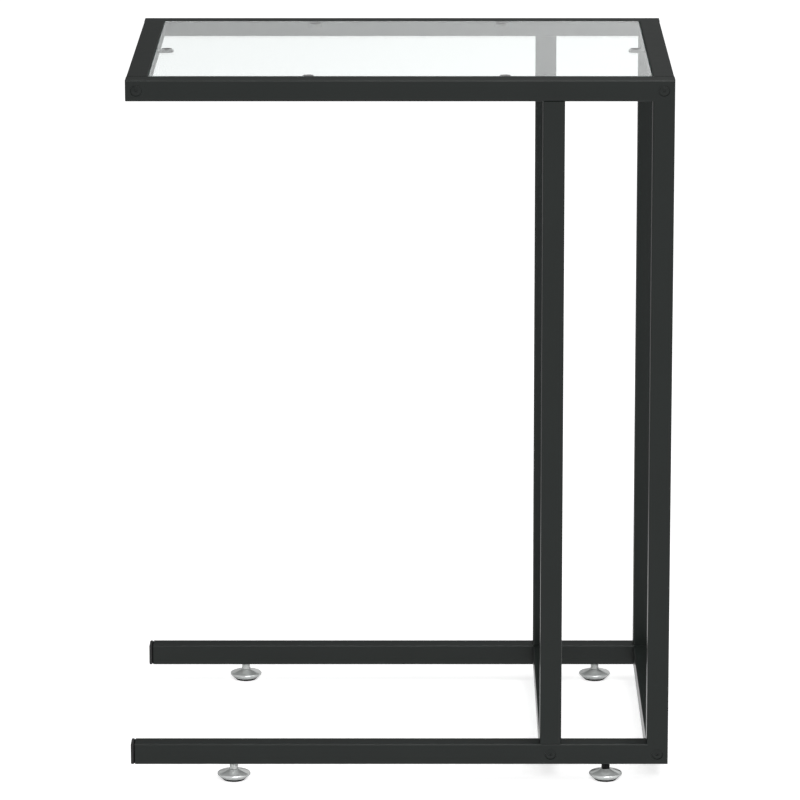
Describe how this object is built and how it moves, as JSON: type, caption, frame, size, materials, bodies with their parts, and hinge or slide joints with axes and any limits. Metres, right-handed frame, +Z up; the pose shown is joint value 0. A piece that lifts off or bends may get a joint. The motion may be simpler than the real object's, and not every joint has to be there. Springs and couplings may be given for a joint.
{
  "type": "side table",
  "caption": "C-shaped side table: square steel tube frame in satin black, clear glass top set flush in the frame, base open on one side, levelling feet.",
  "frame": {"origin": "on the floor, under the middle of the whole table", "axes": "+Z up; X along the long side of the top, with the posts towards +X; Y from front to back, the front at -Y"},
  "size_m": [0.5032, 0.361, 0.6671],
  "materials": {
    "black_coat": "satin black powder coat",
    "clear_glass": "polished clear toughened glass",
    "clear_pad": "translucent soft plastic",
    "black_plastic": "fine moulded",
    "black_bolt": "black oxide",
    "plain_steel": "plain",
    "zinc_steel": "zinc plated",
    "bright_stud": "bright zinc plated thread",
    "black_stud": "blackened thread",
    "bright_shell": "bright plated, pressed",
    "black_rubber": "moulded"
  },
  "bodies": {
    "frame": {"back_base_rail": "black_coat", "back_bolt_sleeves": "plain_steel", "back_joint_bolts": "black_bolt", "back_left_glass_tab": "black_coat", "back_left_rivet_nut": "zinc_steel", "back_mid_post": "black_coat", "back_rail_end_cap": "black_plastic", "back_rail_end_plate": "black_coat", "back_right_glass_tab": "black_coat", "back_right_post": "black_coat", "back_right_rivet_nut": "zinc_steel", "back_top_rail": "black_coat", "base_mid_cross_blocks": "plain_steel", "base_mid_cross_tube": "black_coat", "base_right_cross_blocks": "plain_steel", "base_right_cross_tube": "black_coat", "front_base_rail": "black_coat", "front_bolt_sleeves": "plain_steel", "front_joint_bolts": "black_bolt", "front_left_glass_tab": "black_coat", "front_left_rivet_nut": "zinc_steel", "front_mid_post": "black_coat", "front_rail_end_cap": "black_plastic", "front_rail_end_plate": "black_coat", "front_right_glass_tab": "black_coat", "front_right_post": "black_coat", "front_right_rivet_nut": "zinc_steel", "front_top_rail": "black_coat", "glass_pads": "clear_pad", "glass_top": "clear_glass", "left_glass_tab": "black_coat", "right_glass_tab": "black_coat", "top_left_cross_blocks": "plain_steel", "top_left_cross_tube": "black_coat", "top_right_cross_blocks": "plain_steel", "top_right_cross_tube": "black_coat"},
    "front_left_foot": {"front_left_foot_shell": "bright_shell", "front_left_foot_base": "black_rubber"},
    "front_left_stud": {"front_left_foot_stud": "bright_stud"},
    "front_right_foot": {"front_right_foot_shell": "bright_shell", "front_right_foot_base": "black_rubber"},
    "front_right_stud": {"front_right_foot_stud": "black_stud"},
    "back_left_foot": {"back_left_foot_shell": "bright_shell", "back_left_foot_base": "black_rubber"},
    "back_left_stud": {"back_left_foot_stud": "bright_stud"},
    "back_right_foot": {"back_right_foot_shell": "bright_shell", "back_right_foot_base": "black_rubber"},
    "back_right_stud": {"back_right_foot_stud": "bright_stud"}
  },
  "joints": [
    {"name": "front_left_foot_travel", "type": "slide", "parent": "frame", "child": "front_left_foot", "axis": [0, 0, 1], "range_m": [-0.006, 0.005]},
    {"name": "front_left_stud_turn", "type": "hinge", "parent": "front_left_foot", "child": "front_left_stud", "pos_m": [-0.1554, -0.165, 0.0171], "axis": [0, 0, 1], "range_deg": [-1728, 1440]},
    {"name": "front_right_foot_travel", "type": "slide", "parent": "frame", "child": "front_right_foot", "axis": [0, 0, 1], "range_m": [-0.006, 0.005]},
    {"name": "front_right_stud_turn", "type": "hinge", "parent": "front_right_foot", "child": "front_right_stud", "pos_m": [0.1936, -0.165, 0.0171], "axis": [0, 0, 1], "range_deg": [-1728, 1440]},
    {"name": "back_left_foot_travel", "type": "slide", "parent": "frame", "child": "back_left_foot", "axis": [0, 0, 1], "range_m": [-0.006, 0.005]},
    {"name": "back_left_stud_turn", "type": "hinge", "parent": "back_left_foot", "child": "back_left_stud", "pos_m": [-0.1554, 0.165, 0.0171], "axis": [0, 0, 1], "range_deg": [-1728, 1440]},
    {"name": "back_right_foot_travel", "type": "slide", "parent": "frame", "child": "back_right_foot", "axis": [0, 0, 1], "range_m": [-0.006, 0.005]},
    {"name": "back_right_stud_turn", "type": "hinge", "parent": "back_right_foot", "child": "back_right_stud", "pos_m": [0.1936, 0.165, 0.0171], "axis": [0, 0, 1], "range_deg": [-1728, 1440]}
  ],
  "couplings": [
    {"joint": "front_left_stud_turn", "follows": "front_left_foot_travel", "rad_per_m": 5026.5},
    {"joint": "front_right_stud_turn", "follows": "front_right_foot_travel", "rad_per_m": 5026.5},
    {"joint": "back_left_stud_turn", "follows": "back_left_foot_travel", "rad_per_m": 5026.5},
    {"joint": "back_right_stud_turn", "follows": "back_right_foot_travel", "rad_per_m": 5026.5}
  ]
}
